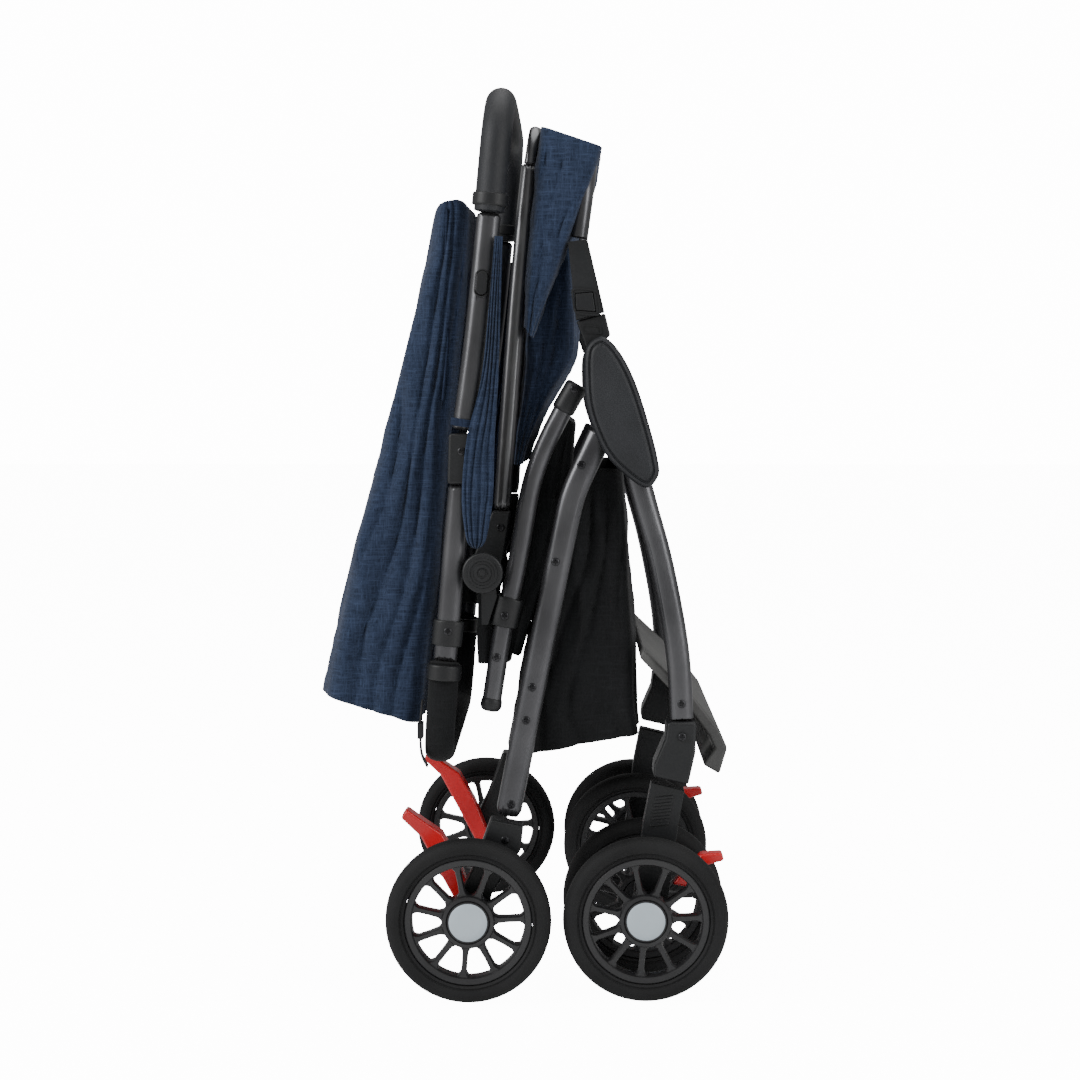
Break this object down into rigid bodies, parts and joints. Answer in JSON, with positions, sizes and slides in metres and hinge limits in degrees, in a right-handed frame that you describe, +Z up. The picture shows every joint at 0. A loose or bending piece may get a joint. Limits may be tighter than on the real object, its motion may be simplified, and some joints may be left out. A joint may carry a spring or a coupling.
{
  "type": "folding baby stroller",
  "caption": "Folding baby stroller standing folded on its wheels: oval-tube legs, hinged armrests, U-shaped grip, bumper bar, hanging canopy, basket, footrest, casters and brake pedals.",
  "frame": {"origin": "on the floor, below the middle of the folded stroller's bounding box", "axes": "+X towards the stroller's front, +Y towards its left side, +Z up"},
  "size_m": [0.4084, 0.482, 0.9151],
  "materials": {
    "frame_tube": "charcoal, semi-gloss, anodised",
    "black_plastic": "moulded, satin",
    "wheel_plastic": "moulded, satin",
    "leatherette": "fine grain",
    "red_plastic": "smooth, glossy",
    "grey_plastic": "moulded, matt",
    "black_cloth": "plain weave",
    "denim_cloth": "slubbed denim-like weave",
    "tyre": "foam rubber, matt"
  },
  "bodies": {
    "rear_frame": {"right_rear_leg": "frame_tube", "right_rear_housing": "black_plastic", "right_armrest_cover": "leatherette", "right_bumper_socket": "black_plastic", "left_rear_leg": "frame_tube", "left_rear_housing": "black_plastic", "left_armrest_cover": "leatherette", "left_bumper_socket": "black_plastic", "rear_crossbar": "frame_tube", "basket": "black_cloth"},
    "front_frame": {"right_front_leg": "frame_tube", "right_caster_mount": "black_plastic", "left_front_leg": "frame_tube", "left_caster_mount": "black_plastic", "footrest": "grey_plastic"},
    "seat_frame": {"right_seat_tube": "frame_tube", "right_recline_hub": "black_plastic", "left_seat_tube": "frame_tube", "left_recline_hub": "black_plastic", "seat_sling": "black_cloth"},
    "handle": {"right_handle_tube": "frame_tube", "right_handle_joint": "black_plastic", "right_seat_rail": "frame_tube", "left_handle_tube": "frame_tube", "left_handle_joint": "black_plastic", "left_seat_rail": "frame_tube", "handle_grip": "leatherette", "lower_bow": "black_cloth"},
    "backrest": {"right_hoop_tube": "frame_tube", "right_hoop_arm": "black_plastic", "left_hoop_tube": "frame_tube", "left_hoop_arm": "black_plastic", "hoop_top": "frame_tube", "backrest_cloth": "denim_cloth"},
    "bumper": {"bumper_bar": "frame_tube", "right_bumper_plug": "black_plastic", "left_bumper_plug": "black_plastic"},
    "canopy": {"canopy_hood": "denim_cloth"},
    "right_caster": {"right_caster_fork": "black_plastic"},
    "right_swivel_lock": {"right_lock_lever": "red_plastic"},
    "right_brake": {"right_brake_pedal": "red_plastic"},
    "right_latch": {"right_latch_button": "black_plastic"},
    "right_bumper_release": {"right_bumper_button": "black_plastic"},
    "left_caster": {"left_caster_fork": "black_plastic"},
    "left_swivel_lock": {"left_lock_lever": "red_plastic"},
    "left_brake": {"left_brake_pedal": "red_plastic"},
    "left_latch": {"left_latch_button": "black_plastic"},
    "left_bumper_release": {"left_bumper_button": "black_plastic"},
    "right_front_outer_wheel": {"right_front_outer_wheel_tyre": "tyre", "right_front_outer_wheel_rim": "wheel_plastic"},
    "right_front_inner_wheel": {"right_front_inner_wheel_tyre": "tyre", "right_front_inner_wheel_rim": "wheel_plastic"},
    "right_rear_wheel": {"right_rear_wheel_tyre": "tyre", "right_rear_wheel_rim": "wheel_plastic"},
    "left_front_outer_wheel": {"left_front_outer_wheel_tyre": "tyre", "left_front_outer_wheel_rim": "wheel_plastic"},
    "left_front_inner_wheel": {"left_front_inner_wheel_tyre": "tyre", "left_front_inner_wheel_rim": "wheel_plastic"},
    "left_rear_wheel": {"left_rear_wheel_tyre": "tyre", "left_rear_wheel_rim": "wheel_plastic"}
  },
  "joints": [
    {"name": "fold", "type": "hinge", "parent": "rear_frame", "child": "front_frame", "pos_m": [0.1066, 0, 0.54768], "axis": [0, -1, 0], "range_deg": [0, 28]},
    {"name": "seat_fold", "type": "hinge", "parent": "rear_frame", "child": "seat_frame", "pos_m": [0.0503, 0, 0.61248], "axis": [0, 1, 0], "range_deg": [0, 10.2]},
    {"name": "handle_fold", "type": "hinge", "parent": "seat_frame", "child": "handle", "pos_m": [-0.0418, 0, 0.42978], "axis": [0, -1, 0], "range_deg": [0, 30.2]},
    {"name": "backrest_fold", "type": "hinge", "parent": "seat_frame", "child": "backrest", "pos_m": [-0.0418, 0, 0.42978], "axis": [0, -1, 0], "range_deg": [0, 20.2]},
    {"name": "bumper_pull", "type": "slide", "parent": "rear_frame", "child": "bumper", "axis": [-0.156, 0, 0.9878], "range_m": [0, 0.03]},
    {"name": "canopy_swing", "type": "hinge", "parent": "handle", "child": "canopy", "pos_m": [-0.0734, 0, 0.79268], "axis": [0, 1, 0], "range_deg": [0, 25]},
    {"name": "right_caster_swivel", "type": "hinge", "parent": "front_frame", "child": "right_caster", "pos_m": [0.1436, -0.1735, 0.20868], "axis": [0.2145, 0, 0.9767], "continuous": true},
    {"name": "right_front_outer_wheel_spin", "type": "hinge", "parent": "right_caster", "child": "right_front_outer_wheel", "pos_m": [0.1206, -0.2205, 0.08268], "axis": [0, 1, 0], "continuous": true},
    {"name": "right_front_inner_wheel_spin", "type": "hinge", "parent": "right_caster", "child": "right_front_inner_wheel", "pos_m": [0.1206, -0.1265, 0.08268], "axis": [0, 1, 0], "continuous": true},
    {"name": "right_rear_wheel_spin", "type": "hinge", "parent": "rear_frame", "child": "right_rear_wheel", "pos_m": [-0.0564, -0.228, 0.08268], "axis": [0, 1, 0], "continuous": true},
    {"name": "right_brake_press", "type": "hinge", "parent": "rear_frame", "child": "right_brake", "pos_m": [-0.0564, -0.17, 0.08268], "axis": [0, -1, 0], "range_deg": [0, 18]},
    {"name": "right_lock_flip", "type": "hinge", "parent": "right_caster", "child": "right_swivel_lock", "pos_m": [0.1536, -0.1735, 0.11468], "axis": [0, 1, 0], "range_deg": [0, 15]},
    {"name": "right_latch_press", "type": "slide", "parent": "handle", "child": "right_latch", "axis": [0, 1, 0], "range_m": [0, 0.003], "stiffness_N_per_m": 300},
    {"name": "right_bumper_press", "type": "slide", "parent": "bumper", "child": "right_bumper_release", "axis": [0, 1, 0], "range_m": [0, 0.003], "stiffness_N_per_m": 300},
    {"name": "left_caster_swivel", "type": "hinge", "parent": "front_frame", "child": "left_caster", "pos_m": [0.1436, 0.1735, 0.20868], "axis": [0.2145, 0, 0.9767], "continuous": true},
    {"name": "left_front_outer_wheel_spin", "type": "hinge", "parent": "left_caster", "child": "left_front_outer_wheel", "pos_m": [0.1206, 0.2205, 0.08268], "axis": [0, 1, 0], "continuous": true},
    {"name": "left_front_inner_wheel_spin", "type": "hinge", "parent": "left_caster", "child": "left_front_inner_wheel", "pos_m": [0.1206, 0.1265, 0.08268], "axis": [0, 1, 0], "continuous": true},
    {"name": "left_rear_wheel_spin", "type": "hinge", "parent": "rear_frame", "child": "left_rear_wheel", "pos_m": [-0.0564, 0.228, 0.08268], "axis": [0, 1, 0], "continuous": true},
    {"name": "left_brake_press", "type": "hinge", "parent": "rear_frame", "child": "left_brake", "pos_m": [-0.0564, 0.17, 0.08268], "axis": [0, -1, 0], "range_deg": [0, 18]},
    {"name": "left_lock_flip", "type": "hinge", "parent": "left_caster", "child": "left_swivel_lock", "pos_m": [0.1536, 0.1735, 0.11468], "axis": [0, 1, 0], "range_deg": [0, 15]},
    {"name": "left_latch_press", "type": "slide", "parent": "handle", "child": "left_latch", "axis": [0, -1, 0], "range_m": [0, 0.003], "stiffness_N_per_m": 300},
    {"name": "left_bumper_press", "type": "slide", "parent": "bumper", "child": "left_bumper_release", "axis": [0, -1, 0], "range_m": [0, 0.003], "stiffness_N_per_m": 300}
  ],
  "couplings": [
    {"joint": "seat_fold", "follows": "fold", "ratio": 0.36},
    {"joint": "handle_fold", "follows": "fold", "ratio": 1.0714},
    {"joint": "backrest_fold", "follows": "fold", "ratio": 0.7143}
  ]
}
